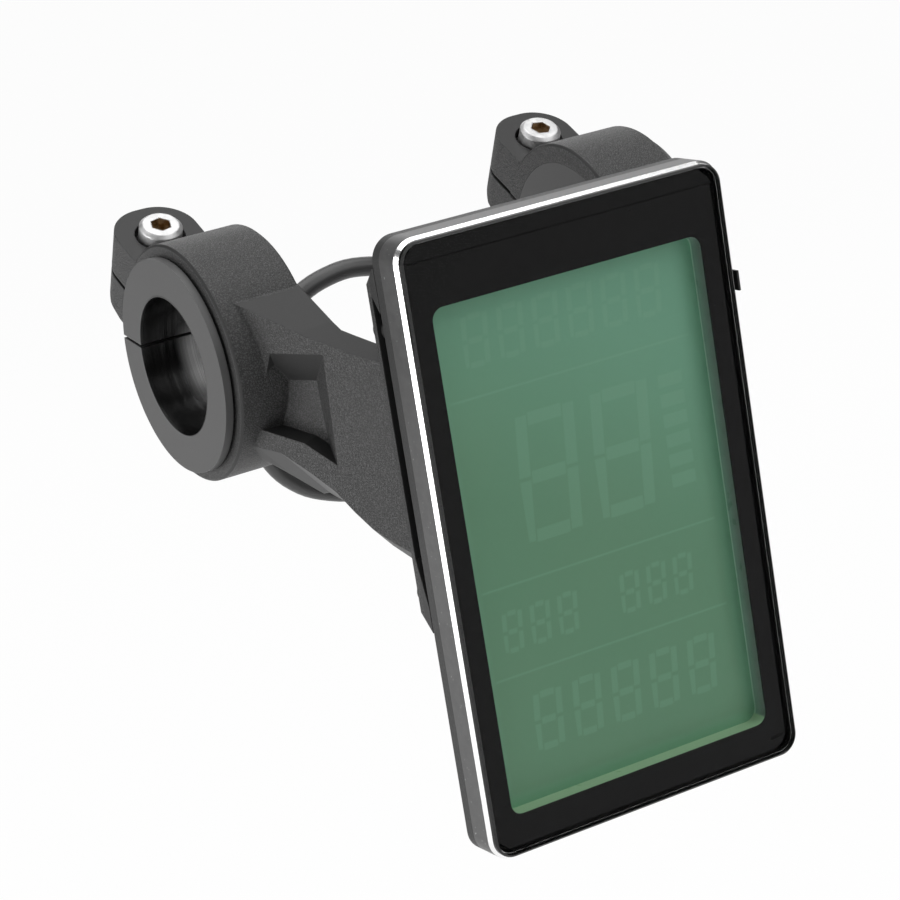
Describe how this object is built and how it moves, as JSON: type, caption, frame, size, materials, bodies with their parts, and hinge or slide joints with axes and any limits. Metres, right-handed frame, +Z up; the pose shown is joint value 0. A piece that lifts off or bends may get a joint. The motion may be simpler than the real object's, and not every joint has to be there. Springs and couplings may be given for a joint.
{
  "type": "e-bike display",
  "caption": "Upright rectangular handlebar display with a large screen, two arms with screw-tightened clamp rings and bushes, and a short lead ending in a round plug.",
  "frame": {"origin": "on the handlebar's axis, midway between the two clamps", "axes": "+X along the handlebar towards the right clamp as the screen is looked at, +Y forward away from the rider, +Z up"},
  "size_m": [0.09, 0.0753, 0.0979],
  "materials": {
    "bezel": "satin black moulding with a polished chamfer round its rim",
    "lens": "clear glossy window",
    "mask": "black print behind the window",
    "holder": "black moulding",
    "screen_glass": "grey-green screen glass",
    "light_guide": "milky white",
    "contact_rubber": "soft contact strip",
    "board": "green circuit board",
    "chip_black": "black component bodies",
    "connector_cream": "cream connector block",
    "wire_red": "wire insulation",
    "seal_rubber": "soft silicone",
    "cover": "fine-textured black moulding",
    "steel_dark": "plain zinc-plated steel",
    "soft_black": "soft black rubber",
    "arm_plastic": "fine-textured black glass-filled moulding",
    "bush_plastic": "dark grey moulding",
    "screw_steel": "stainless steel",
    "cable_black": "smooth black cable jacket",
    "tie_black": "woven strap",
    "plug_black": "moulded black plug",
    "pin_gold": "gold-plated pins"
  },
  "bodies": {
    "bushes": {"left_bush": "bush_plastic", "right_bush": "bush_plastic"},
    "display": {"bezel_frame": "bezel", "front_lens": "lens", "window_mask": "mask", "lcd_holder": "holder", "lcd_glass": "screen_glass", "light_guide": "light_guide", "contact_strip": "contact_rubber", "main_board": "board", "board_parts": "chip_black", "buzzer": "chip_black", "board_connector": "connector_cream", "lead_wires": "wire_red", "cover_seal": "seal_rubber", "back_cover": "cover", "cover_screws": "steel_dark", "left_arm": "arm_plastic", "right_arm": "arm_plastic", "arm_screws": "steel_dark", "cable_gland": "soft_black", "cable_lead": "cable_black", "cable_coil": "cable_black", "cable_tail": "cable_black", "cable_tie": "tie_black", "cable_plug": "plug_black", "plug_pins": "pin_gold", "plug_seal": "seal_rubber"},
    "left_screw": {"left_clamp_screw": "screw_steel"},
    "right_screw": {"right_clamp_screw": "screw_steel"},
    "left_nut": {"left_clamp_nut": "screw_steel"},
    "right_nut": {"right_clamp_nut": "screw_steel"},
    "port_plug": {"port_cover": "soft_black"}
  },
  "joints": [
    {"name": "tilt_on_bar", "type": "hinge", "parent": "bushes", "child": "display", "pos_m": [0, 0, 0], "axis": [1, 0, 0], "range_deg": [-45, 45]},
    {"name": "left_screw_turn", "type": "hinge", "parent": "display", "child": "left_screw", "pos_m": [-0.03615, 0.01949, 0.01125], "axis": [0, -0.5, 0.866], "range_deg": [0, 720]},
    {"name": "right_screw_turn", "type": "hinge", "parent": "display", "child": "right_screw", "pos_m": [0.03615, 0.01949, 0.01125], "axis": [0, -0.5, 0.866], "range_deg": [0, 720]},
    {"name": "left_nut_slide", "type": "slide", "parent": "display", "child": "left_nut", "axis": [0, 0.5, -0.866], "range_m": [0, 0.0014]},
    {"name": "right_nut_slide", "type": "slide", "parent": "display", "child": "right_nut", "axis": [0, 0.5, -0.866], "range_m": [0, 0.0014]},
    {"name": "port_cover_pull", "type": "slide", "parent": "display", "child": "port_plug", "axis": [1, 0, 0], "range_m": [0, 0.003]}
  ],
  "couplings": [
    {"joint": "left_screw_turn", "follows": "left_nut_slide", "rad_per_m": 8976},
    {"joint": "right_screw_turn", "follows": "right_nut_slide", "rad_per_m": 8976}
  ]
}
